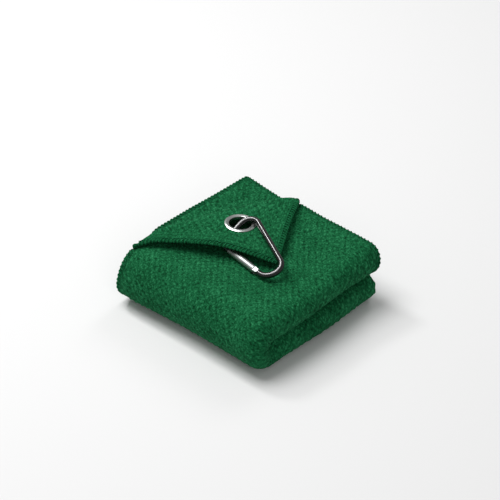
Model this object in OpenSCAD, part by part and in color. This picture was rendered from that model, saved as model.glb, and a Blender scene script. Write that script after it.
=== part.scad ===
// Waffle microfibre golf towel, folded for display, with a grommet in one corner
// and a spring-gate carabiner clipped through it. Millimetres. Base on z = 0.

/* [Folded towel] */
// Width of the folded block, left hems to right folds
block_x = 150; // [120:1:180]
// Depth of the folded block, wrapped end to open end
block_y = 144; // [120:1:180]
// Height of the folded block, twelve layers
block_h = 48; // [36:1:60]
// Layers in each half of the block
half_layers = 6; // [6:1:6]
// Width of the overlocked edge thread
thread_w = 1; // [0.6:0.1:1.6]

/* [Turned-back corner] */
// Thickness of the single layer of cloth
flap_t = 2.7; // [2:0.1:3.5]
// Height of the middle of the cloth at its lowest
flap_base = 50.47; // [49:0.01:56]
// Rise of the flap where the clip holds it up
flap_rise = 9.6; // [0:0.1:14]

/* [Grommet] */
// Radius of the grommet hole
eye_r = 9; // [7:0.1:11]
// Outer radius of the grommet flange
flange_r = 12.7; // [11:0.1:15]
// Half of the cloth thickness pinched between the flanges
pinch = 0.75; // [0.5:0.05:1.2]

/* [Carabiner] */
// Radius of the carabiner's rod
rod_r = 2.4; // [1.8:0.05:3]
// Radius of the gate's tube
gate_r = 2.75; // [2:0.05:3]
// Distance of the gate's pivot from the nose corner
pivot_x = 44.2; // [36:0.1:50]
// Distance of the latch pin from the nose corner
latch_x = 8.9; // [8:0.1:12]
// Radius of the rivet the gate turns on
rivet_r = 0.8; // [0.6:0.05:1.2]

/* [Hidden] */
$fn = 64;

hx = block_x / 2;
hy = block_y / 2;
half = block_h / 2;
ply = half / half_layers;
wrap_y = -hy + half;
left = -hx + thread_w;

// fold line of the corner: start, end, direction, and the direction towards the tip
f1 = [-69, -54];
f2 = [-12, 70.6];
fd = (f2 - f1) / norm(f2 - f1);
fn = [fd.y, -fd.x];
tip = [31, -0.5];
bump = [-15.3, -0.9];

// height of the middle of the flap over a point of the plan
function zm(p) = let (a = (p - bump) * fn, t = (p - bump) * fd,
    ka = a < 0 ? 0 : a / 29.2, kt = t < 0 ? t / 33.6 : t / 38.3)
    flap_base + flap_rise * exp(-(ka * ka + kt * kt) / 2);
function bez(a, b, c, d, t) = a * pow(1 - t, 3) + 3 * b * t * pow(1 - t, 2)
    + 3 * c * t * t * (1 - t) + d * t * t * t;
// hem of the flap, s from 0 at the fold's start, over the tip at 0.6, to 1 at its end
function hem(s) = s <= 0.6 ? bez(f1, [-56, -35], [-6, -16], tip, 0.02 + 0.98 * s / 0.6)
    : bez(tip, [24.3, 12], [4.3, 43], f2, 0.97 * (s - 0.6) / 0.4);
function fold(s) = f1 + (f2 - f1) * s;
function hem_out(s) = let (a = hem(max(0, s - 0.01)), b = hem(min(1, s + 0.01)),
    d = (b - a) / norm(b - a)) [d.y, -d.x];

// closed skin over a grid of rings: every ring has k points, ends are capped
module rings(pts, n, k) {
    polyhedron(points = pts, faces = concat(
        [for (i = [0:n - 2], j = [0:k - 1]) each [
            [i * k + j, (i + 1) * k + j, (i + 1) * k + (j + 1) % k],
            [i * k + j, (i + 1) * k + (j + 1) % k, i * k + (j + 1) % k]]],
        [for (j = [0:k / 2 - 2]) [j, j + 1, k - 2 - j, k - 1 - j]],
        [for (j = [0:k / 2 - 2], m = (n - 1) * k) [m + k - 1 - j, m + k - 2 - j, m + j + 1, m + j]]));
}

// cross-section of one half: x is the height over the middle plane, y runs left to right
module half_profile() {
    square_to(0, -66.6, half, hx - half / 2);
    translate([half / 2, hx - half / 2]) circle(r = half / 2, $fn = 48);
    hull() {
        translate([2 * ply, left + 2 * ply]) circle(r = 2 * ply, $fn = 32);
        square_to(0, -40, 4 * ply, -30);
    }
    for (k = [4, 5]) hull() {
        translate([(k + 0.5) * ply, left + ply * 0.47]) circle(r = ply * 0.47, $fn = 16);
        square_to(k * ply + 0.1, -50, (k + 1) * ply - 0.1, -40);
    }
}
module square_to(x0, y0, x1, y1) translate([x0, y0]) square([x1 - x0, y1 - y0]);

// runs a half profile along both flat halves and around the wrapped end
module around(a0 = 0, both = false) {
    multmatrix([[0, 1, 0, 0], [0, 0, 1, wrap_y - 0.02], [1, 0, 0, half], [0, 0, 0, 1]])
        linear_extrude(height = hy - wrap_y + 0.02) {
            mirror([1, 0]) children();
            if (both) children();
        }
    multmatrix([[0, 0, 1, 0], [0, -1, 0, wrap_y], [1, 0, 0, half], [0, 0, 0, 1]])
        rotate([0, 0, a0]) rotate_extrude(angle = 180 - a0, $fn = 72) children();
}

module towel_cloth() color([0.02, 0.33, 0.16]) difference() {
    around(0, true) half_profile();
    // the top layer is turned back here, so the next layer shows
    translate([0, 0, block_h - ply]) linear_extrude(height = 20)
        polygon([[-hx - 5, f1.y], f1, f2, [f2.x + 1.0, hy + 5], [-hx - 5, hy + 5]]);
    // grooves between the layer ends at the open end
    for (k = [1:half_layers - 1]) for (s = [-1, 1])
        translate([left + 6, hy - 1.2, half + s * k * ply - 0.25]) cube([block_x - 24, 3, 0.5]);
    translate([left + 8, hy - 3, half - 0.3]) cube([block_x - 22, 5, 0.6]);
}

module long_hem_thread() color([0.03, 0.38, 0.19]) around(14.5) long_edge(5);
module inner_hem_thread() color([0.03, 0.38, 0.19]) {
    around(0, true) long_edge(4);
}
module long_edge(k) square_to((k + 0.12) * ply, -hx, (k + 0.88) * ply, left);

module corner_flap() color([0.02, 0.36, 0.18]) difference() {
    rings([for (i = [0:30]) let (s = i / 30) each concat(
        [for (j = [0:10]) let (p = fold(s) + (hem(s) - fold(s)) * j / 10) [p.x, p.y, zm(p) - flap_t / 2]],
        [for (j = [10:-1:0]) let (p = fold(s) + (hem(s) - fold(s)) * j / 10) [p.x, p.y, zm(p) + flap_t / 2]])],
        31, 22);
    in_eye() {
        translate([0, 0, -9]) cylinder(r = eye_r + 0.6, h = 18);
        translate([0, 0, pinch]) cylinder(r = flange_r + 0.05, h = 6);
        translate([0, 0, -pinch - 6]) cylinder(r = flange_r + 0.05, h = 6);
    }
}

module flap_hem_thread() color([0.03, 0.38, 0.19])
    rings([for (i = [1:29]) let (s = i / 30, p = hem(s), q = p + hem_out(s) * thread_w, z = zm(p), h = flap_t / 2)
        each [[p.x, p.y, z - h], [q.x, q.y, z - h + 0.5], [q.x, q.y, z + h - 0.3], [p.x, p.y, z + h]]], 29, 4);

// the bend that joins the top layer to the flap, a half tube of changing radius
module corner_bight() color([0.02, 0.33, 0.16]) {
    za = block_h - ply / 2;
    rings([for (i = [0:24]) let (s = 0.01 + 0.97 * i / 24, p = fold(s), zf = zm(p), r = (zf - za) / 2,
        c = (zf + za) / 2, h = flap_t / 2)
        each concat(
            [for (j = [0:10]) let (a = -90 + 18 * j) bight_at(p, c, max(0.35, r - h), a)],
            [for (j = [10:-1:0]) let (a = -90 + 18 * j) bight_at(p, c, r + h, a)])], 25, 22);
}
function bight_at(p, c, r, a) = let (q = p - fn * (0.35 + r * cos(a))) [q.x, q.y, c + r * sin(a)];

// ---- clip frame: x along the gate, y towards the spine, z across the clip
ex = [0.98799501, -0.15434926, -0.0064942];
ey = [0.14536079, 0.91458161, 0.37737345];
ez = cross(ex, ey);
clip_at = [-19.93, -9.42, 51.42];
v0 = [0, 0];
v1 = [-4.87, 36.9];
v2 = [63.27, 15.31];
v3 = [54.24, 0];
eye_s = 22.77;
eye_l = v1 / norm(v1) * eye_s;
eye_c = clip_at + ex * eye_l.x + ey * eye_l.y;
en0 = [0.0249, 0.0563, 0.9981];
en = en0 / norm(en0);
eu0 = cross([0, 1, 0], en);
eu = eu0 / norm(eu0);
ev = cross(en, eu);

module in_clip() multmatrix([[ex.x, ey.x, ez.x, clip_at.x], [ex.y, ey.y, ez.y, clip_at.y],
    [ex.z, ey.z, ez.z, clip_at.z], [0, 0, 0, 1]]) children();
module in_eye() multmatrix([[eu.x, ev.x, en.x, eye_c.x], [eu.y, ev.y, en.y, eye_c.y],
    [eu.z, ev.z, en.z, eye_c.z], [0, 0, 0, 1]]) children();

module grommet_front() color([0.8, 0.81, 0.8]) in_eye() rotate_extrude($fn = 96) {
    difference() {
        hull() {
            translate([eye_r + 0.8, pinch]) circle(r = 0.8, $fn = 32);
            translate([eye_r + 2.2, pinch + 0.65]) circle(r = 0.45, $fn = 32);
            translate([flange_r - 0.3, pinch + 0.3]) circle(r = 0.3, $fn = 32);
        }
        translate([eye_r + 0.6, -5]) square([10, 5 + pinch]);
    }
    translate([eye_r, -pinch]) square([0.58, 2 * pinch]);
    difference() {
        translate([eye_r + 0.8, -pinch]) circle(r = 0.8, $fn = 32);
        translate([eye_r + 0.58, -pinch]) square([5, 5]);
    }
}
module grommet_back() color([0.75, 0.76, 0.75]) in_eye() rotate_extrude($fn = 96)
    translate([eye_r + 1.62, -pinch - 0.55]) square([flange_r - eye_r - 1.7, 0.54]);

// straight rod between two points of the clip's plane
module rod(a, b, r) translate([a.x, a.y, 0]) rotate([0, 0, atan2(b.y - a.y, b.x - a.x)])
    rotate([0, 90, 0]) cylinder(r = r, h = norm(b - a));
// straight length that runs a little way into the bends at its ends
module straight(a, b) rod(along(a, b, -0.4), along(b, a, -0.4), rod_r - 0.03);
// tangent length of a bend of radius r at corner b between a and c
function cut(a, b, c, r) = let (u = (a - b) / norm(a - b), v = (c - b) / norm(c - b)) r / tan(acos(u * v) / 2);
module bend(a, b, c, r) {
    u = (a - b) / norm(a - b);
    v = (c - b) / norm(c - b);
    w = (u + v) / norm(u + v);
    h = acos(u * v) / 2;
    m = b + w * r / sin(h);
    translate([m.x, m.y, 0]) rotate([0, 0, atan2(-w.y, -w.x) - (90 - h)])
        rotate_extrude(angle = 180 - 2 * h, $fn = 96) translate([r, 0]) circle(r = rod_r, $fn = 48);
}
r0 = 7.45;
r1 = 8.9;
r2 = 9;
r3 = 10;
c0 = cut(v3, v0, v1, r0);
c1 = cut(v0, v1, v2, r1);
c2 = cut(v1, v2, v3, r2);
c3 = cut(v2, v3, v0, r3);
function along(a, b, d) = a + (b - a) / norm(b - a) * d;

module carabiner_body() color([0.03, 0.03, 0.035]) in_clip() {
    bend(v3, v0, v1, r0);
    straight(along(v0, v1, c0), along(v1, v0, c1));
    bend(v0, v1, v2, r1);
    straight(along(v1, v2, c1), along(v2, v1, c2));
    bend(v1, v2, v3, r2);
    straight(along(v2, v3, c2), along(v3, v2, c3));
    bend(v2, v3, v0, r3);
    rod([pivot_x + 2.75, 0], along(v3, v0, c3 - 0.4), rod_r - 0.03);
    // flat tongue that the gate's fork straddles
    difference() {
        translate([0, 0, -0.9]) linear_extrude(height = 1.8) hull() {
            translate([pivot_x, 0]) circle(r = 2);
            translate([pivot_x + 3, -1.8]) square([1, 3.6]);
        }
        translate([pivot_x, 0, -3]) cylinder(r = rivet_r + 0.06, h = 6);
    }
    // nose with the notch that the latch pin drops into
    difference() {
        rod([c0 - 0.4, 0], [latch_x + 2, 0], rod_r - 0.03);
        translate([latch_x, 0, -4]) cylinder(r = 1.1, h = 8);
        translate([latch_x - 1.1, 0, -4]) cube([2.2, 5, 8]);
        translate([latch_x, -1.1, -0.95]) cube([4, 6, 1.9]);
    }
}

module gate_tube() color([0.78, 0.79, 0.8]) in_clip() difference() {
    union() {
        rod([latch_x + 2.4, 0], [pivot_x, 0], gate_r);
        intersection() {
            rod([pivot_x - 1, 0], [pivot_x + 3, 0], gate_r);
            translate([pivot_x, 0, -4]) cylinder(r = 2.3, h = 8);
        }
        translate([latch_x, -0.5, -0.6]) cube([4, 1, 1.2]);
    }
    translate([latch_x, 0, -4]) cylinder(r = 0.76, h = 8);
    translate([pivot_x - 2.35, -4, -1.2]) cube([8, 8, 2.4]);
    rod([20, 0], [pivot_x - 2, 0], 1.5);
    translate([pivot_x, 0, -4]) cylinder(r = rivet_r + 0.01, h = 8);
    for (s = [-1, 1]) translate([pivot_x, 0, s * 3.2]) cube([5, 6, 2], center = true);
}

module gate_latch_pin() color([0.75, 0.76, 0.77]) in_clip()
    translate([latch_x, 0, -1.9]) cylinder(r = 0.75, h = 3.8);

module gate_rivet() color([0.7, 0.71, 0.72]) in_clip() {
    translate([pivot_x, 0, -2.3]) cylinder(r = rivet_r, h = 4.6);
    for (s = [0, 1]) mirror([0, 0, s]) translate([pivot_x, 0, 2.21]) cylinder(r1 = 1.15, r2 = 0.9, h = 0.3);
}

module gate_plunger() color([0.7, 0.7, 0.72]) in_clip() {
    rod([36.2, 0], [41.0, 0], 1.4);
    translate([41.0, 0, 0]) rotate([0, 90, 0]) cylinder(r1 = 1.4, r2 = 0.9, h = 0.5);
}

module gate_spring() color([0.6, 0.6, 0.62]) in_clip()
    rings([for (i = [0:140]) let (a = i * 18, x = 20.5 + 15.2 * i / 140)
        each [for (j = [0:5]) let (b = j * 60, q = 1.1 + 0.24 * cos(b))
            [x + 0.24 * sin(b), q * cos(a), q * sin(a)]]], 141, 6);

towel_cloth();
long_hem_thread();
inner_hem_thread();
corner_bight();
corner_flap();
flap_hem_thread();
grommet_front();
grommet_back();
carabiner_body();
gate_tube();
gate_latch_pin();
gate_rivet();
gate_spring();
gate_plunger();
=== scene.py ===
"""Waffle microfibre golf towel, folded, with a turned-back corner, a grommet and a carabiner."""
import math

import bmesh
import bpy
import numpy as np
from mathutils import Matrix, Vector


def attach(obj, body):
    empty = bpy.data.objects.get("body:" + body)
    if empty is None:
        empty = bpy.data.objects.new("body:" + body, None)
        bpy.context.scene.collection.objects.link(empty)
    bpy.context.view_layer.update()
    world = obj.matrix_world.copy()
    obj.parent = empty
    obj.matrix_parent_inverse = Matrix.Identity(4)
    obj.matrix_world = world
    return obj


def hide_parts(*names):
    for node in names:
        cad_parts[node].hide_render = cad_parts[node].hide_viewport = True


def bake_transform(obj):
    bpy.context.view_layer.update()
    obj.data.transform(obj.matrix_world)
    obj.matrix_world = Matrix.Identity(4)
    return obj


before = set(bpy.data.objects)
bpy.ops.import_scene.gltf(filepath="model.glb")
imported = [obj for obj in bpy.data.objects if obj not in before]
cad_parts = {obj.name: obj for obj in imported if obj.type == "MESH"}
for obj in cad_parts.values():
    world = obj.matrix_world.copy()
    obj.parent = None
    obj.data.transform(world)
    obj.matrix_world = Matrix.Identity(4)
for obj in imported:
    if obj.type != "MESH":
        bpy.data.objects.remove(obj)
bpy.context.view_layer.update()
MM = 0.001
TAU = 2 * math.pi

# ---------------------------------------------------------------- camera
AZIMUTH, ELEVATION = math.radians(43.16), math.radians(36.78)
AIM, DISTANCE = Vector((0, 0, 0.024)), 1.42771      # metres
back = Vector((math.sin(AZIMUTH) * math.cos(ELEVATION),
               -math.cos(AZIMUTH) * math.cos(ELEVATION), math.sin(ELEVATION)))
camera_data = bpy.data.cameras.new("camera")
camera = bpy.data.objects.new("camera", camera_data)
bpy.context.scene.collection.objects.link(camera)
camera.location = AIM + back * DISTANCE
camera.rotation_euler = (-back).to_track_quat("-Z", "Y").to_euler()
camera_data.lens, camera_data.sensor_width = 129.6, 36
camera_data.shift_x, camera_data.shift_y = 0.00364, 0.05454
camera_data.clip_start, camera_data.clip_end = 0.05, 20
bpy.context.scene.camera = camera

# ---------------------------------------------------------------- sizes, mm
FLAT = (406.0, 610.0)              # the towel laid flat
MIDDLE_Z = 24.0                    # plane between the two halves of the block
WRAP_Y = -48.0                     # axis that the block is wrapped round
LEFT = -73.7                       # long hems
TOP_END = 70.9                     # short hems, at the open end
FOLD_END = 68.0                    # centre of the folds below them
RIGHT_X, RIGHT_R = 63.0, 8.0       # bight between the outer and the centre third
INNER_X, INNER_R = -66.0, 4.0      # bight between the centre and the inner third
BIGHT_H = 12.0                     # axis of the right bight, from the middle plane
APART = 2.0                        # layers A and B of the doubled cloth, from their shared middle
TOP_H = BIGHT_H + RIGHT_R          # middle of the outer third, from the middle plane
OUTER_R, NEXT_R = TOP_H + APART, TOP_H - APART      # wrap radius of layers A and B
HALF = 1.6                         # half of the cloth's thickness
HEM_HALF = 1.25                    # the same under the stitches
FLAP_HALF, FLAP_HEM_HALF = 1.35, 1.1                # the same two in the turned-back corner
RELIEF = 0.40                      # height of the waffle over its mean surface
OPEN_RISE, OPEN_SLIDE = 5.4, 2.6   # how far the open end stands proud of the block
CELL_U, CELL_V = 6.0, 6.8          # repeat of the waffle
STEP_U, STEP_V = CELL_U / 4, CELL_V / 4             # mesh steps that carry the waffle
COARSE = 4.0                       # mesh step along the hidden part of layer B

# the fold line of the turned-back corner in plan: its ends, its direction and the flap's side
FOLD_A, FOLD_B = np.array([-69.0, -54.0]), np.array([-12.0, 70.6])
ALONG = (FOLD_B - FOLD_A) / np.linalg.norm(FOLD_B - FOLD_A)
ACROSS = np.array([ALONG[1], -ALONG[0]])
TIP = np.array([31.0, -0.5])       # tip of the turned-back corner
TIP_AT = 0.6                       # share of the corner's hem where its tip is
CROWN = np.array([-15.3, -0.9])    # highest place of the corner's dome
BEND_GAP = 0.35                    # the bend stands this far outside the fold line
FIRST_S, LAST_S = 0.004, 0.992     # shares of the fold line where the corner's mesh ends

# the grommet: its centre and axis, the radius of the cloth's hole, and the radius and half
# thickness of the cloth that it grips
EYE = np.array([-19.592, 11.686, 59.958])
EYE_AXIS = np.array([0.0249, 0.0563, 0.9981])
EYE_AXIS = EYE_AXIS / np.linalg.norm(EYE_AXIS)
EYE_HOLE, GRIP_R, GRIP_HALF = 9.7, 12.7, 0.74


def smooth(x):
    """Smooth step from 0 at x = 0 to 1 at x = 1."""
    x = np.clip(x, 0, 1)
    return x * x * (3 - 2 * x)


# ---------------------------------------------------------------- materials
def material(name):
    m = bpy.data.materials.new(name)
    m.use_nodes = True
    nodes, links = m.node_tree.nodes, m.node_tree.links
    return m, nodes, links, nodes["Principled BSDF"]


def node(nodes, kind, **values):
    n = nodes.new(kind)
    for k, v in values.items():
        if hasattr(n, k):
            setattr(n, k, v)
        else:
            n.inputs[k.replace("_", " ")].default_value = v
    return n


def math_node(nodes, links, op, a, b=None):
    n = nodes.new("ShaderNodeMath")
    n.operation = op
    for i, x in enumerate((a, b)):
        if x is None:
            continue
        if isinstance(x, (int, float)):
            n.inputs[i].default_value = x
        else:
            links.new(x, n.inputs[i])
    return n.outputs[0]


def ramp(nodes, links, source, stops):
    """Colour output that follows the source through stops of place and colour."""
    n = nodes.new("ShaderNodeValToRGB")
    e = n.color_ramp.elements
    while len(e) < len(stops):
        e.new(0.5)
    for el, (p, c) in zip(e, stops):
        el.position, el.color = p, (*c, 1)
    links.new(source, n.inputs[0])
    return n.outputs[0]


def cloth_material(name, dark, mid, light, thread=False):
    """Fuzzy cloth or thread in three shades, on the flat towel's own scale, with painted shade in its
    hollows.
    """
    m, nodes, links, bsdf = material(name)
    uv = node(nodes, "ShaderNodeUVMap", uv_map="flat")
    to_mm = node(nodes, "ShaderNodeMapping")
    to_mm.inputs["Scale"].default_value = (1000, 1000, 1000)
    links.new(uv.outputs[0], to_mm.inputs[0])
    co = to_mm.outputs[0]

    def noise(scale, detail, rough=0.6, distortion=0.0):
        n = node(nodes, "ShaderNodeTexNoise")
        n.inputs["Scale"].default_value = scale
        n.inputs["Detail"].default_value = detail
        n.inputs["Roughness"].default_value = rough
        n.inputs["Distortion"].default_value = distortion
        links.new(co, n.inputs["Vector"])
        return n.outputs[0]

    pile = noise(0.80, 3, 0.75, 0.6)
    patch = noise(0.045, 3)
    nubs = node(nodes, "ShaderNodeTexVoronoi")
    nubs.inputs["Scale"].default_value = 0.62
    links.new(co, nubs.inputs["Vector"])
    # woven is 1 where the mesh is too open to carry the waffle, which is then drawn here, in the bump
    # and as painted shade in its pits
    woven = node(nodes, "ShaderNodeAttribute", attribute_name="woven").outputs["Fac"]
    relief = node(nodes, "ShaderNodeAttribute", attribute_name="relief").outputs["Fac"]
    axes = node(nodes, "ShaderNodeSeparateXYZ")
    links.new(co, axes.inputs[0])
    waves = [math_node(nodes, links, "COSINE",
                       math_node(nodes, links, "MULTIPLY", axes.outputs[i], TAU / cell))
             for i, cell in enumerate((CELL_U, CELL_V))]
    drawn = math_node(nodes, links, "MULTIPLY",
                      math_node(nodes, links, "MULTIPLY", waves[0], waves[1]), woven)
    shape = math_node(nodes, links, "ADD", relief, drawn)
    # brightness of a point: for the cloth, painted shade darkens the low places of the relief, such as
    # the waffle's pits, the rib grooves and the band under the stitches
    v = math_node(nodes, links, "MULTIPLY", shape, 0.0 if thread else 0.11)
    # the pile makes loose fibres lighter
    v = math_node(nodes, links, "ADD", v, math_node(nodes, links, "MULTIPLY", pile, 1.25))
    v = math_node(nodes, links, "ADD", v, math_node(nodes, links, "MULTIPLY", patch, 0.30))
    # painted shade in the hollows between the nubs, so the nubs stand lighter
    v = math_node(nodes, links, "SUBTRACT", v,
                  math_node(nodes, links, "MULTIPLY", nubs.outputs["Distance"], 0.34))
    v = math_node(nodes, links, "SUBTRACT", v, 0.13)
    colour = ramp(nodes, links, v, [(0.18, dark), (0.5, mid), (0.82, light)])
    links.new(colour, bsdf.inputs["Base Color"])
    h = math_node(nodes, links, "MULTIPLY", pile, 0.9)
    h = math_node(nodes, links, "SUBTRACT", h,
                  math_node(nodes, links, "MULTIPLY", nubs.outputs["Distance"], 0.6))
    h = math_node(nodes, links, "ADD", h, math_node(nodes, links, "MULTIPLY", drawn, 0.45))
    bump = node(nodes, "ShaderNodeBump")
    bump.inputs["Strength"].default_value = 0.85
    bump.inputs["Distance"].default_value = 0.0006
    links.new(h, bump.inputs["Height"])
    links.new(bump.outputs[0], bsdf.inputs["Normal"])
    rough = math_node(nodes, links, "ADD", math_node(nodes, links, "MULTIPLY", pile, 0.12), 0.84)
    links.new(rough, bsdf.inputs["Roughness"])
    bsdf.inputs["Specular IOR Level"].default_value = 0.06
    bsdf.inputs["Sheen Weight"].default_value = 0.05
    bsdf.inputs["Sheen Roughness"].default_value = 0.45
    bsdf.inputs["Sheen Tint"].default_value = (0.15, 0.8, 0.40, 1)
    return m


def metal_material(name, base, metallic, rough, grain, stretch, coat=0.0, bumps=0.12):
    """Metal or enamel with fine grain, which stretch draws out, and slight wear."""
    m, nodes, links, bsdf = material(name)
    tc = node(nodes, "ShaderNodeTexCoord")
    mp = node(nodes, "ShaderNodeMapping")
    mp.inputs["Scale"].default_value = stretch
    links.new(tc.outputs["Object"], mp.inputs[0])
    n = node(nodes, "ShaderNodeTexNoise")
    n.inputs["Scale"].default_value = 900
    n.inputs["Detail"].default_value = 5
    links.new(mp.outputs[0], n.inputs["Vector"])
    wear = node(nodes, "ShaderNodeTexNoise")
    wear.inputs["Scale"].default_value = 160
    wear.inputs["Detail"].default_value = 3
    links.new(tc.outputs["Object"], wear.inputs["Vector"])
    r = math_node(nodes, links, "ADD", math_node(nodes, links, "MULTIPLY", n.outputs[0], grain),
                  rough - grain / 2)
    r = math_node(nodes, links, "ADD", r,
                  math_node(nodes, links, "MULTIPLY", wear.outputs[0], grain * 0.6))
    links.new(r, bsdf.inputs["Roughness"])
    tone = ramp(nodes, links, wear.outputs[0],
                [(0.3, tuple(c * 0.86 for c in base)), (0.7, base)])
    links.new(tone, bsdf.inputs["Base Color"])
    bump = node(nodes, "ShaderNodeBump")
    bump.inputs["Strength"].default_value = bumps
    bump.inputs["Distance"].default_value = 0.00005
    links.new(n.outputs[0], bump.inputs["Height"])
    links.new(bump.outputs[0], bsdf.inputs["Normal"])
    bsdf.inputs["Metallic"].default_value = metallic
    bsdf.inputs["Coat Weight"].default_value = coat
    bsdf.inputs["Coat Roughness"].default_value = 0.20
    return m


cloth = cloth_material("waffle_microfibre", (0.0011, 0.031, 0.0096), (0.0069, 0.108, 0.0375),
                       (0.033, 0.247, 0.102))
stitching = cloth_material("overlock_thread", (0.003, 0.060, 0.021), (0.010, 0.138, 0.051),
                           (0.032, 0.25, 0.105), thread=True)
nickel = metal_material("satin_nickel", (0.70, 0.73, 0.71), 1.0, 0.30, 0.10, (1, 1, 1))
black = metal_material("black_enamel", (0.004, 0.004, 0.0045), 0.0, 0.20, 0.03, (1, 1, 1),
                       coat=0.8, bumps=0.01)
aluminium = metal_material("satin_aluminium", (0.52, 0.55, 0.535), 1.0, 0.42, 0.14, (0.12, 1, 1))
steel = metal_material("pin_steel", (0.56, 0.56, 0.57), 1.0, 0.30, 0.10, (1, 1, 1))


# ---------------------------------------------------------------- cloth meshes
def mesh_object(name, verts, faces, base_uv, base, relief, woven, mat, join=True):
    """Object of a mesh in mm; base gives for every vertex its row in base_uv, relief and woven."""
    # the floor flattens what rests on it
    verts = np.array(verts, dtype=float)
    verts[:, 2] = np.maximum(verts[:, 2], 0)
    mesh = bpy.data.meshes.new(name)
    mesh.from_pydata((verts * MM).tolist(), [], faces)
    vi = np.empty(len(mesh.loops), dtype=np.int32)
    mesh.loops.foreach_get("vertex_index", vi)
    layer = mesh.uv_layers.new(name="flat")
    layer.data.foreach_set("uv", (base_uv[base][vi] * MM).astype(np.float32).ravel())
    for key, values in (("relief", relief), ("woven", woven)):
        att = mesh.attributes.new(key, "FLOAT", "POINT")
        att.data.foreach_set("value", values[base].astype(np.float32))
    bm = bmesh.new()
    bm.from_mesh(mesh)
    bmesh.ops.delete(bm, geom=[v for v in bm.verts if not v.link_faces], context="VERTS")
    if join:
        bmesh.ops.remove_doubles(bm, verts=bm.verts, dist=2e-6)
    bm.to_mesh(mesh)
    bm.free()
    mesh.polygons.foreach_set("use_smooth", [True] * len(mesh.polygons))
    mesh.materials.append(mat)
    obj = bpy.data.objects.new(name, mesh)
    bpy.context.scene.collection.objects.link(obj)
    return obj


def normals_of(mid, faces):
    """Unit normals at the vertices of a mesh."""
    nor = np.zeros_like(mid)
    quads = np.array([f for f in faces if len(f) == 4])
    face_n = np.cross(mid[quads[:, 2]] - mid[quads[:, 0]], mid[quads[:, 3]] - mid[quads[:, 1]])
    for c in range(4):
        np.add.at(nor, quads[:, c], face_n)
    for f in faces:
        if len(f) != 4:
            p = mid[f]
            n = np.cross(p, np.roll(p, -1, axis=0)).sum(axis=0)
            nor[f] += n
    size = np.linalg.norm(nor, axis=1, keepdims=True)
    return nor / np.maximum(size, 1e-12)


def thicken(name, mid, faces, half, up, down, uv, relief, woven, mat):
    """Closed cloth solid round the middle surface; up and down are the relief on its two sides."""
    n = len(mid)
    nor = normals_of(mid, faces)
    edges = {}
    for f in faces:
        for a, b in zip(f, f[1:] + f[:1]):
            edges[a, b] = True
    rim = [(a, b) for a, b in edges if (b, a) not in edges]
    out = np.zeros_like(mid)
    for a, b in rim:
        o = np.cross(mid[b] - mid[a], nor[a] + nor[b])
        out[a] += o
        out[b] += o
    on_rim = sorted({i for e in rim for i in e})
    rim_at = {v: 2 * n + k for k, v in enumerate(on_rim)}
    o = out[on_rim] / np.maximum(np.linalg.norm(out[on_rim], axis=1, keepdims=True), 1e-12)
    verts = np.concatenate([mid + nor * (half + up)[:, None], mid - nor * (half + down)[:, None],
                            mid[on_rim] + o * (0.75 * half[on_rim])[:, None]])
    base = np.concatenate([np.arange(n), np.arange(n), np.array(on_rim, dtype=int)])
    solid = [list(f) for f in faces] + [[n + i for i in reversed(f)] for f in faces]
    for a, b in rim:
        solid.append([b, a, rim_at[a], rim_at[b]])
        solid.append([rim_at[b], rim_at[a], n + a, n + b])
    return mesh_object(name, verts, solid, uv, base, relief, woven, mat)


def edge_distance(u, v):
    """Distance from the nearest edge of the flat towel, and the rib period beside that edge."""
    du, dv = np.minimum(u, FLAT[0] - u), np.minimum(v, FLAT[1] - v)
    return np.minimum(du, dv), np.where(du < dv, 2.8, 3.2)


def weave(u, v, border=4.0, ribbed=0.0):
    """Relief of the cloth, -1 to 1: waffle inside, and a border that may be ribbed along the edge."""
    e, period = edge_distance(u, v)
    inside = smooth((e - border) / 1.6)
    waffle = np.cos(TAU * u / CELL_U) * np.cos(TAU * v / CELL_V)
    ribs = ribbed * np.cos(TAU * e / period) * smooth((e - 3) / 2)
    under_stitches = 1 - smooth((e - 3.2) / 0.9)
    return waffle * inside + ribs * (1 - inside) - under_stitches


def thickness(u, v, full):
    """Half thickness of the cloth, thinner under the stitches."""
    e, _ = edge_distance(u, v)
    return HEM_HALF + (full - HEM_HALF) * smooth((e - 3.5) / 5)


def section(u):
    """Middle of the doubled cloth at the distance u from the long hem: x, height, normal x, z."""
    runs = [RIGHT_X - LEFT, math.pi * RIGHT_R, RIGHT_X - INNER_X, math.pi * INNER_R]
    s = np.cumsum([0] + runs)
    x, z, nx, nz = (np.zeros_like(u) for _ in range(4))
    low = BIGHT_H - RIGHT_R
    k = u < s[1]
    x[k], z[k], nx[k], nz[k] = LEFT + u[k], TOP_H, 0, 1
    k = (u >= s[1]) & (u < s[2])
    a = (u[k] - s[1]) / RIGHT_R
    x[k], z[k], nx[k], nz[k] = (RIGHT_X + RIGHT_R * np.sin(a), BIGHT_H + RIGHT_R * np.cos(a),
                                np.sin(a), np.cos(a))
    k = (u >= s[2]) & (u < s[3])
    x[k], z[k], nx[k], nz[k] = RIGHT_X - (u[k] - s[2]), low, 0, -1
    k = (u >= s[3]) & (u < s[4])
    a = (u[k] - s[3]) / INNER_R
    x[k], z[k], nx[k], nz[k] = (INNER_X - INNER_R * np.sin(a), low + INNER_R - INNER_R * np.cos(a),
                                -np.sin(a), -np.cos(a))
    k = u >= s[4]
    x[k], z[k], nx[k], nz[k] = INNER_X + (u[k] - s[4]), low + 2 * INNER_R, 0, 1
    return x, z, nx, nz


def height_share(z):
    """0 up to the middle plane of the block, 1 at its top."""
    return np.clip((z - MIDDLE_Z) / OUTER_R, 0, 1)


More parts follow.
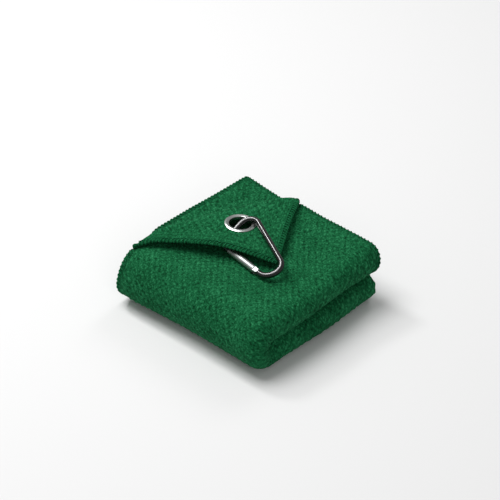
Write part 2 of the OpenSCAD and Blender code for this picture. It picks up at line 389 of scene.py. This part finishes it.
def sag(p):
    """The folded block's points, in mm, with their soft unevenness."""
    x, y, z = p[:, 0], p[:, 1], p[:, 2]
    up = height_share(z)
    q = p.copy()
    wave = 0.5 + 0.25 * np.sin(x / 21 + 0.8) * np.sin(y / 27 + 0.3) + 0.25 * np.sin(x / 37 - y / 19)
    shoulder = smooth((x - 35) / 40) * 1.1 + smooth((-y - 30) / 45) * 0.5
    q[:, 2] -= up * (0.45 * wave + shoulder * (0.5 + 0.5 * np.sin(x / 17 + y / 23)) * 0.6)
    side = smooth((x - 52) / 20)
    q[:, 0] += side * (0.5 + 0.8 * np.sin(y / 16 + (z > MIDDLE_Z) * 1.9 + 0.6))
    q[:, 2] += side * np.where(z > MIDDLE_Z, 0.8, 0.5) * np.sin(y / 29 + 1.0) * (
        1 - np.abs(z - MIDDLE_Z) / 24) * np.clip(np.abs(z - MIDDLE_Z) / 8, 0, 1)
    q[:, 1] -= belly(p)
    q[:, 2] += 0.6 * smooth((z - 40) / 5) * np.exp(-((x + 4) ** 2 + (y - 72) ** 2) / 10 ** 2)
    return puff(q, up) - crease(p)


def puff(p, up):
    """Points with the loose open end and the hemmed side beside the fold line raised and let out."""
    x, y = p[:, 0], p[:, 1]
    q = p.copy()
    # the corner between the open end and the long hems
    behind = np.exp(-((x + 75) ** 2 + (y - 72) ** 2) / (2 * 34 ** 2))
    # the hemmed side beside the fold line, less towards the open end
    beside = (smooth((-x - 50) / 20) * smooth((y + 48) / 26)
              * (1 - 0.78 * smooth((y - 10) / 60)))
    q[:, 2] += up * (OPEN_RISE * smooth((y - 16) / 54) + 1.3 * behind + 5.0 * beside
                     - 0.8 * smooth((y - 63) / 9))
    q[:, 0] -= up * 4.6 * beside
    q[:, 1] += up * (OPEN_SLIDE * smooth((y - 30) / 40) + 6.0 * behind)
    return q


def crease(p):
    """How far the cloth is drawn in beside the pit, where the wrapped end meets the two bights."""
    x, y, z = p[:, 0], p[:, 1], p[:, 2]
    side = smooth((x - 50) / 14)
    # the lower bight starts behind the edge of the wrapped end
    step = (6.0 * smooth((y + 56.5) / 2.6) * (1 - smooth((y + 52) / 30))
            * smooth((27 - z) / 4) * smooth((z - 3) / 13))
    a, b = np.array([75.0, -50.0, 26.0]), np.array([66.0, -62.0, 36.0])
    t = np.clip(((p - a) @ (b - a)) / ((b - a) @ (b - a)), 0, 1)
    gap = np.linalg.norm(p - (a + t[:, None] * (b - a)), axis=1)
    pleat = 3.2 * np.exp(-(gap / 2.4) ** 2) * (1 - t)
    return ((side * step)[:, None] * np.array([1.0, 0.0, 0.0])
            + pleat[:, None] * np.array([0.7, -0.5, 0.5]))


def belly(p):
    """How far the wrapped end hangs outwards low down, most at the hemmed side."""
    x, y, z = p[:, 0], p[:, 1], p[:, 2]
    return (4.2 * smooth((-x + 10) / 80) * smooth((-y - 44) / 20)
            * np.exp(-((z - 13) / 13) ** 2))


def line(a, b, step):
    """Places from a to b, about one step apart."""
    return np.linspace(a, b, max(2, int(round(abs(b - a) / step)) + 1))


def make_rows():
    """Rows along the towel, as offset, y, angle round the wrap and flat v; and how many layer A has.

    Layer A runs on top from the open end, round the wrap and back below. Layer B returns inside it.
    """
    found = [(APART, y, 0.0, TOP_END - y)
             for y in TOP_END - np.arange(0, TOP_END - WRAP_Y - 0.8, STEP_V)]
    v0 = TOP_END - WRAP_Y
    for a in line(0, math.pi, STEP_V / OUTER_R):
        found.append((APART, WRAP_Y, a, v0 + OUTER_R * a))
    v0 += OUTER_R * math.pi
    for y in line(WRAP_Y, FOLD_END, STEP_V)[1:]:
        found.append((APART, y, math.pi, v0 + y - WRAP_Y))
    v0 += FOLD_END - WRAP_Y
    for a in np.linspace(0, math.pi, 9)[1:-1]:
        found.append((APART * math.cos(a), FOLD_END + APART * math.sin(a), math.pi, v0 + APART * a))
    v0 += APART * math.pi
    in_a = len(found)
    for y in line(FOLD_END, WRAP_Y, COARSE)[:-1]:
        found.append((-APART, y, math.pi, v0 + FOLD_END - y))
    v0 += FOLD_END - WRAP_Y
    for a in line(math.pi, 0, COARSE / NEXT_R):
        found.append((-APART, WRAP_Y, a, v0 + NEXT_R * (math.pi - a)))
    v0 += NEXT_R * math.pi
    for y in line(WRAP_Y, TOP_END, STEP_V)[1:]:
        found.append((-APART, y, 0.0, v0 + y - WRAP_Y))
    found = np.array(found)
    # v is scaled to end at the towel's own length
    found[:, 3] *= FLAT[1] / found[-1, 3]
    return found, in_a


rows, layer_a = make_rows()
# fine steps carry the waffle over the outer third and its bight
u_fine = np.arange(0, RIGHT_X - LEFT + math.pi * RIGHT_R + 4, STEP_U)
# the rest is coarse, except round the bight of the inner third
u_wide = np.concatenate([np.arange(u_fine[-1] + 4, 291, 6.0), np.linspace(291.5, 305.5, 9),
                         np.arange(311, 404, 6.0), [FLAT[0]]])


def place(row, u):
    """Points of the middle surface at one row for the flat distances u."""
    w, y, a, _ = row
    x, z, nx, nz = section(u)
    cx, cz = x + w * nx, z + w * nz
    return np.stack([cx, y - cz * math.sin(a), MIDDLE_Z + cz * math.cos(a)], axis=1)


def bend_in(s):
    """The fold line and hem run out to the long hem near their start."""
    s = np.atleast_1d(s)[:, None]
    return np.array([-3.2, -1.5]) * np.clip(1 - s / 0.2, 0, 1) ** 2


def fold(s):
    """Points of the fold line in plan at the shares s of its length."""
    return FOLD_A + (FOLD_B - FOLD_A) * np.atleast_1d(s)[:, None] + bend_in(s)


FOLD_LINE = fold(np.linspace(0, 1.02, 240))


def fold_x(y):
    """x of the fold line at y."""
    return np.interp(y, FOLD_LINE[:, 1], FOLD_LINE[:, 0])


def build_towel():
    """The folded towel without its turned-back corner, as one cloth."""
    nr, nf = len(rows), len(u_fine)
    mid, uv, gone, is_a = [], [], [], []
    for i, row in enumerate(rows):
        p = place(row, u_fine)
        cut = np.zeros(nf, dtype=bool)
        # on top, what lies beyond the fold line is the turned-back corner's
        if row[0] > 1.9 and row[2] < 1.0:
            cut = ((p[:, 1] > FOLD_LINE[0, 1]) & (p[:, 0] < fold_x(p[:, 1]) + 1e-6)
                   & (u_fine < RIGHT_X - LEFT))
            p[cut, 0] = fold_x(p[cut, 1])
        mid.append(p)
        gone.append(cut)
        uv.append(np.stack([u_fine, np.full(nf, row[3])], axis=1))
        is_a.append(np.full(nf, i < layer_a))
    gone = np.array(gone)
    faces = []
    for i in range(nr - 1):
        for k in range(nf - 1):
            if gone[i:i + 2, k:k + 2].all():
                continue
            a = i * nf + k
            faces.append([a, a + nf, a + nf + 1, a + 1])
    # the hidden thirds use every fourth row; the first strip's faces take in the rows between
    coarse = sorted(set(list(range(0, nr, 4)) + [nr - 1] + list(range(layer_a - 9, layer_a + 1))))
    nw, start = len(u_wide), nr * nf
    for i in coarse:
        mid.append(place(rows[i], u_wide))
        uv.append(np.stack([u_wide, np.full(nw, rows[i, 3])], axis=1))
        is_a.append(np.full(nw, i < layer_a))
    for c in range(len(coarse) - 1):
        a, b = coarse[c], coarse[c + 1]
        seam = [i * nf + nf - 1 for i in range(a, b + 1)]
        faces.append(seam + [start + (c + 1) * nw, start + c * nw])
        for k in range(nw - 1):
            q = start + c * nw + k
            faces.append([q, q + nw, q + nw + 1, q + 1])
    mid, uv, is_a = np.concatenate(mid), np.concatenate(uv), np.concatenate(is_a)
    rel = weave(uv[:, 0], uv[:, 1])
    half = thickness(uv[:, 0], uv[:, 1], HALF)
    shown = uv[:, 0] < u_fine[-1] - 3
    rng = np.random.default_rng(7)
    rel = rel * (1 + 0.25 * rng.standard_normal(len(rel))) + 0.3 * rng.standard_normal(len(rel))
    up = np.where(shown & is_a, RELIEF * rel, 0)
    # layer B is bare where the corner is turned back
    bare = (~is_a) & shown & (mid[:, 2] > MIDDLE_Z + 14) & (mid[:, 0] < 5)
    down = np.where(bare, RELIEF * rel, 0)
    carried = shown & (is_a | bare)
    return thicken("towel", sag(mid), faces, half, up, down, uv, np.where(carried, rel, 0),
                   np.where(carried, 0.0, 1.0), cloth)


def flap_z(p):
    """Height of the middle of the turned-back corner over points of the plan."""
    a, t = (p - CROWN) @ ACROSS, (p - CROWN) @ ALONG
    ka, kt = np.where(a < 0, 0, a / 29.2), np.where(t < 0, t / 33.6, t / 38.3)
    start, end = (np.linalg.norm(p - q, axis=1) for q in (FOLD_LINE[0], FOLD_B))
    return (50.47 + 9.6 * np.exp(-(ka * ka + kt * kt) / 2)
            - 3.7 * np.exp(-(start / 9) ** 2) - 2.3 * np.exp(-(end / 12) ** 2))


def bezier(a, b, c, d, t):
    """Points of a cubic curve from a to d at the shares t."""
    a, b, c, d = (np.asarray(q, dtype=float) for q in (a, b, c, d))
    t = np.asarray(t, dtype=float)[..., None]
    return a * (1 - t) ** 3 + 3 * b * t * (1 - t) ** 2 + 3 * c * t * t * (1 - t) + d * t ** 3


def hem(s):
    """Points of the turned-back corner's hem in plan, from one end of the fold line to the other."""
    s = np.atleast_1d(np.asarray(s, dtype=float))
    first = bezier(FOLD_A, (-56, -35), (-6, -16), TIP, 0.02 + 0.98 * np.clip(s / TIP_AT, 0, 1))
    after = np.clip((s - TIP_AT) / (1 - TIP_AT), 0, 1)
    last = bezier(TIP, (24.3, 12), (4.3, 43), FOLD_B, 0.97 * after)
    return np.where((s <= TIP_AT)[:, None], first, last) + bend_in(s)


# the towel's corner and the ends of the fold line, in the flat
CORNER = np.array([0.0, 0.0])
FLAT_A, FLAT_B = np.array([0.0, 126.0]), np.array([62.0, 0.0])


def flat_of_hem(s):
    """Points of the same hem in the flat."""
    s = np.atleast_1d(s)[:, None]
    after = np.clip((s - TIP_AT) / (1 - TIP_AT), 0, 1)
    return np.where(s <= TIP_AT, FLAT_A + (CORNER - FLAT_A) * np.clip(s / TIP_AT, 0, 1),
                    CORNER + (FLAT_B - CORNER) * after)


S_ROWS = np.linspace(FIRST_S, LAST_S, 139)
BIGHT_STEPS, FLAP_STEPS = 14, 56


def corner_middle():
    """Middle surface and flat places of the corner: rows along the fold, round the bend, then out."""
    f, h = fold(S_ROWS), hem(S_ROWS)
    ff = FLAT_A + (FLAT_B - FLAT_A) * S_ROWS[:, None]
    fh = flat_of_hem(S_ROWS)
    # the bend rises from the top layer, at za, to the flap, at zf
    zf = flap_z(f)
    wrap = np.clip((WRAP_Y - f[:, 1]) / OUTER_R, 0, 1)
    za = MIDDLE_Z + OUTER_R * np.sqrt(1 - wrap ** 2) - 0.5
    r, c = (zf - za) / 2, (zf + za) / 2
    outward = (ff - fh) / np.maximum(np.linalg.norm(ff - fh, axis=1), 1)[:, None]
    mid, uv = [], []
    for j in range(BIGHT_STEPS):
        a = math.radians(-90 + 180 * j / BIGHT_STEPS)
        out = (BEND_GAP + r * math.cos(a))[:, None]
        mid.append(np.column_stack([f - ACROSS * out, c + r * math.sin(a)]))
        uv.append(ff + outward * (r * math.pi * (1 - j / BIGHT_STEPS))[:, None])
    for j in range(FLAP_STEPS + 1):
        k = j / FLAP_STEPS
        q = f + (h - f) * k
        mid.append(np.column_stack([q, flap_z(q)]))
        uv.append(ff + (fh - ff) * k)
    mid = np.concatenate(mid)
    return puff(mid, height_share(mid[:, 2])), np.concatenate(uv)


def fit_grommet(mid, on_flap):
    """The flap drawn flat at the grommet, with its points' distance and offset from the axis."""
    offset = mid - EYE
    height = offset @ EYE_AXIS
    flat_r = offset - height[:, None] * EYE_AXIS
    radius = np.linalg.norm(flat_r, axis=1)
    near = smooth((18.5 - radius) / 5.5) * on_flap
    return mid - (height * near)[:, None] * EYE_AXIS, radius, flat_r


def build_corner():
    """The bend out of the top layer and the turned-back corner, as one cloth."""
    ns = len(S_ROWS)
    mid, uv = corner_middle()
    on_flap = np.arange(len(mid)) >= BIGHT_STEPS * ns
    mid, radius, flat_r = fit_grommet(mid, on_flap)
    inside = (radius < EYE_HOLE + 0.5) & on_flap
    faces, nc = [], BIGHT_STEPS + FLAP_STEPS + 1
    for j in range(nc - 1):
        for i in range(ns - 1):
            a = j * ns + i
            q = [a, a + ns, a + ns + 1, a + 1]
            if not inside[q].all():
                faces.append(q)
    # the edge of the hole is drawn onto its circle
    used = {i for q in faces for i in q}
    snap = [i for i in used if inside[i]]
    rim_dir = flat_r[snap] / np.maximum(radius[snap], 1e-6)[:, None]
    mid[snap] = EYE + rim_dir * EYE_HOLE
    rel = weave(np.abs(uv[:, 0]), np.abs(uv[:, 1]), border=9.5, ribbed=0.32)
    e, _ = edge_distance(uv[:, 0], uv[:, 1])
    half = FLAP_HEM_HALF + (FLAP_HALF - FLAP_HEM_HALF) * smooth((e - 3) / 4)
    # thinner where the fold begins, and gripped at the grommet
    half -= 0.35 * np.exp(-(np.linalg.norm(mid[:, :2] - FOLD_LINE[0], axis=1) / 8) ** 2)
    pinch = smooth((radius - GRIP_R - 0.1) / 3.2)
    half = np.where(on_flap, GRIP_HALF + (half - GRIP_HALF) * pinch, half)
    rel = np.where(on_flap, rel * smooth((radius - GRIP_R) / 2), rel)
    rng = np.random.default_rng(8)
    rel = rel * (1 + 0.2 * rng.standard_normal(len(rel))) + 0.35 * rng.standard_normal(len(rel))
    # the relief fades out at both ends of the fold line
    calm = np.tile(smooth(np.minimum(S_ROWS, 1 - S_ROWS) / 0.06), nc)
    relief = RELIEF * 0.85 * rel * calm
    return thicken("towel_corner", mid, faces, half, relief, relief * 0.6, uv, rel,
                   np.zeros(len(mid)), cloth)


# ---------------------------------------------------------------- overlocked hems
def tube(points, radius, sides, verts, faces, uvs, at):
    """Adds a closed tapered tube along points to the lists."""
    points = np.asarray(points)
    n = len(points)
    t = np.gradient(points, axis=0)
    t /= np.maximum(np.linalg.norm(t, axis=1, keepdims=True), 1e-9)
    ref = np.array([0.31, 0.17, 0.93])
    a = np.cross(t, ref)
    a /= np.maximum(np.linalg.norm(a, axis=1, keepdims=True), 1e-9)
    for i in range(1, n):
        p = a[i - 1] - t[i] * (a[i - 1] @ t[i])
        a[i] = p / max(np.linalg.norm(p), 1e-9)
    b = np.cross(t, a)
    start = len(verts)
    for i in range(n):
        for k in range(sides):
            g = TAU * k / sides
            verts.append(points[i] + radius[i] * (a[i] * math.cos(g) + b[i] * math.sin(g)))
            uvs.append((at + i * 0.8, k * 0.6))
    for i in range(n - 1):
        for k in range(sides):
            p, q = start + i * sides + k, start + i * sides + (k + 1) % sides
            faces.append([p, q, q + sides, p + sides])
    faces.append([start + k for k in reversed(range(sides))])
    faces.append([start + (n - 1) * sides + k for k in range(sides)])


def overlock(name, runs, reach=3.6, pitch=3.5, thick=0.55, lift=1.25):
    """Overlock stitching over edges: runs are lists of edge point, inward and normal arrays."""
    verts, faces, uvs = [], [], []
    rng = np.random.default_rng(len(name) * 31 + len(runs))
    for edge, inward, normal in runs:
        seg = np.linalg.norm(np.diff(edge, axis=0), axis=1)
        s = np.concatenate([[0], np.cumsum(seg)])
        count = max(2, int(s[-1] / pitch))

        def at(q):
            q = np.clip(q, 0, s[-1])
            out = [np.array([np.interp(q, s, arr[:, c]) for c in range(3)])
                   for arr in (edge, inward, normal)]
            return out[0], out[1] / np.linalg.norm(out[1]), out[2] / np.linalg.norm(out[2])

        for k in range(count):
            q = (k + 0.5) * s[-1] / count + rng.uniform(-0.12, 0.12)
            path = []
            # one loop: distance inward, height over the cloth, share of the pitch along the edge
            long_reach = reach + rng.uniform(-0.25, 0.25)
            profile = [(long_reach, lift - 0.35, 0.42), (long_reach * 0.66, lift + 0.10, 0.30),
                       (long_reach * 0.33, lift + 0.12, 0.14), (0.1, lift * 0.95, 0.02),
                       (-0.40, lift * 0.5, -0.06), (-0.55, 0.0, -0.1)]
            lower = [(d, -h, -0.2 - t) for d, h, t in reversed(profile[:-1])]
            for d, h, t in profile + lower:
                e, i, w = at(q + t * pitch)
                path.append(e + i * d + w * h)
            radius = np.full(len(path), thick)
            radius[[0, -1]] = thick * 0.45
            tube(path, radius, 6, verts, faces, uvs, q)
        # the needle thread runs parallel to the edge where the loops end
        for side in (1, -1):
            path = []
            for k in range(1, count * 2):
                e, i, w = at(k * s[-1] / (2 * count))
                wig = 0.22 if k % 2 else -0.22
                path.append(e + i * (reach + wig) + w * side * (lift + 0.02 + 0.1 * (k % 2)))
            tube(path, np.full(len(path), 0.36), 5, verts, faces, uvs, 0)
    uv = np.array(uvs)
    none = np.zeros(len(verts))
    return mesh_object(name, np.array(verts), faces, uv, np.arange(len(verts)), none, none,
                       stitching, join=False)


def long_hem(first, last):
    """Edge, inward and normal arrays of the long hem between two rows."""
    edge, inward, normal = [], [], []
    for i in range(first, last):
        edge.append(place(rows[i], np.array([0.0]))[0])
        inward.append((1.0, 0.0, 0.0))
        a = rows[i, 2]
        normal.append((0.0, -math.sin(a), math.cos(a)))
    return sag(np.array(edge)), np.array(inward), np.array(normal)


def short_hem(row, u):
    """Edge, inward and normal arrays of the short hem at one row."""
    _, _, nx, nz = section(u)
    edge = place(rows[row], u)
    inward = np.tile((0.0, -1.0, 0.0), (len(u), 1))
    return sag(edge), inward, np.column_stack([nx, np.zeros(len(u)), nz])


def flap_hem():
    """Edge, inward and normal arrays of the turned-back corner's hem."""
    s = np.linspace(0.012, 0.985, 260)
    h = hem(s)
    # a rounded tip
    t = np.gradient(h, axis=0)
    t /= np.linalg.norm(t, axis=1, keepdims=True)
    kernel = np.hanning(9)
    kernel /= kernel.sum()
    pad = np.concatenate([np.repeat(t[:1], 4, axis=0), t, np.repeat(t[-1:], 4, axis=0)])
    t = np.column_stack([np.convolve(pad[:, c], kernel, "valid") for c in range(2)])
    inward2 = np.column_stack([-t[:, 1], t[:, 0]])
    z = flap_z(h)
    step = 1.0
    gx = (flap_z(h + (step, 0)) - flap_z(h - (step, 0))) / (2 * step)
    gy = (flap_z(h + (0, step)) - flap_z(h - (0, step))) / (2 * step)
    normal = np.column_stack([-gx, -gy, np.ones(len(s))])
    normal /= np.linalg.norm(normal, axis=1, keepdims=True)
    inward = np.column_stack([inward2, gx * inward2[:, 0] + gy * inward2[:, 1]])
    edge = np.column_stack([h, z])
    return puff(edge, np.ones(len(edge))), inward, normal


def turn(end):
    """Edge, inward and normal arrays of the hem round the bend, at the fold's start (0) or end (1)."""
    f = fold(FIRST_S if end == 0 else LAST_S)[0]
    zf, za = float(flap_z(f[None])[0]), MIDDLE_Z + OUTER_R - 0.5
    r, c = (zf - za) / 2, (zf + za) / 2
    a = np.radians(np.linspace(-80, 80, 9))
    out = BEND_GAP + r * np.cos(a)
    edge = np.column_stack([f[0] - ACROSS[0] * out, f[1] - ACROSS[1] * out, c + r * np.sin(a)])
    edge = puff(edge, np.ones(len(a)))
    inward = np.tile((*(ALONG if end == 0 else -ALONG), 0.0), (len(a), 1))
    normal = np.column_stack([-ACROSS[0] * np.cos(a), -ACROSS[1] * np.cos(a), np.sin(a)])
    return edge, inward, normal


towel = build_towel()
corner = build_corner()
# the outer long hem is stitched from where the turned-back corner begins
edge_y = [place(r, np.array([0.0]))[0, 1] for r in rows]
first_kept = next(i for i in range(len(rows)) if edge_y[i] < FOLD_LINE[0, 1])
outer_hem = overlock("long_hem_stitching", [long_hem(first_kept, layer_a - 8)])
inner_hem = overlock("inner_hem_stitching", [long_hem(layer_a + 1, len(rows))])
# the short hems are stitched to 6 mm before the hidden long hem
short_hems = overlock("short_hem_stitching", [
    short_hem(0, np.arange(fold_x(TOP_END) - LEFT + 1, 400, 1.5)),
    short_hem(len(rows) - 1, np.arange(2, 400, 1.5))])
corner_hem = overlock("corner_hem_stitching", [flap_hem(), turn(0), turn(1)], reach=3.4, pitch=2.9,
                      thick=0.5, lift=1.0)

for obj in (towel, outer_hem, inner_hem, short_hems):
    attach(obj, "folded_towel")
for obj in (corner, corner_hem):
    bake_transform(obj)
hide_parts("towel_cloth")
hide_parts("corner_bight", "corner_flap")
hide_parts("long_hem_thread")
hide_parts("inner_hem_thread")
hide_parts("flap_hem_thread")

# ---------------------------------------------------------------- metal parts
for name, mat in {"grommet_front": nickel, "grommet_back": nickel, "carabiner_body": black,
                  "gate_tube": aluminium, "gate_latch_pin": steel, "gate_rivet": steel,
                  "gate_spring": steel, "gate_plunger": steel}.items():
    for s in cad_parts[name].material_slots:
        s.material = mat


# ---------------------------------------------------------------- stage and light
def floor(half=6):
    """A pale floor, half of its side in metres."""
    mesh = bpy.data.meshes.new("floor")
    mesh.from_pydata([(-half, -half, 0), (half, -half, 0), (half, half, 0), (-half, half, 0)], [],
                     [(0, 1, 2, 3)])
    m, nodes, links, bsdf = material("floor")
    bsdf.inputs["Base Color"].default_value = (0.80, 0.80, 0.80, 1)
    bsdf.inputs["Roughness"].default_value = 0.8
    mesh.materials.append(m)
    obj = bpy.data.objects.new("floor", mesh)
    bpy.context.scene.collection.objects.link(obj)
    obj.visible_glossy = False       # the clip would mirror the bare floor as a pale band


def area_light(name, at, size, power, mirrored=True):
    """A disc of light, in metres and watts, aimed at the object."""
    data = bpy.data.lights.new(name, "AREA")
    data.shape, data.size, data.energy = "DISK", size, power
    obj = bpy.data.objects.new(name, data)
    obj.location = at
    obj.rotation_euler = (Vector((0, 0, 0.03)) - Vector(at)).to_track_quat("-Z", "Y").to_euler()
    obj.visible_glossy = mirrored
    bpy.context.scene.collection.objects.link(obj)


floor()
area_light("key", (-0.55, -0.25, 1.6), 1.1, 20.5)
area_light("fill", (1.3, -0.9, 0.9), 1.0, 5.0, mirrored=False)
area_light("rim", (-0.3, 1.3, 1.1), 0.7, 4, mirrored=False)
area_light("gloss", (-0.95, 0.02, 1.10), 0.28, 5)
bpy.context.scene.view_settings.view_transform = "Standard"
world = bpy.data.worlds.new("studio")
bpy.context.scene.world = world
world.use_nodes = True
world.node_tree.nodes["Background"].inputs[0].default_value = (1, 1, 1, 1)
world.node_tree.nodes["Background"].inputs[1].default_value = 0.26
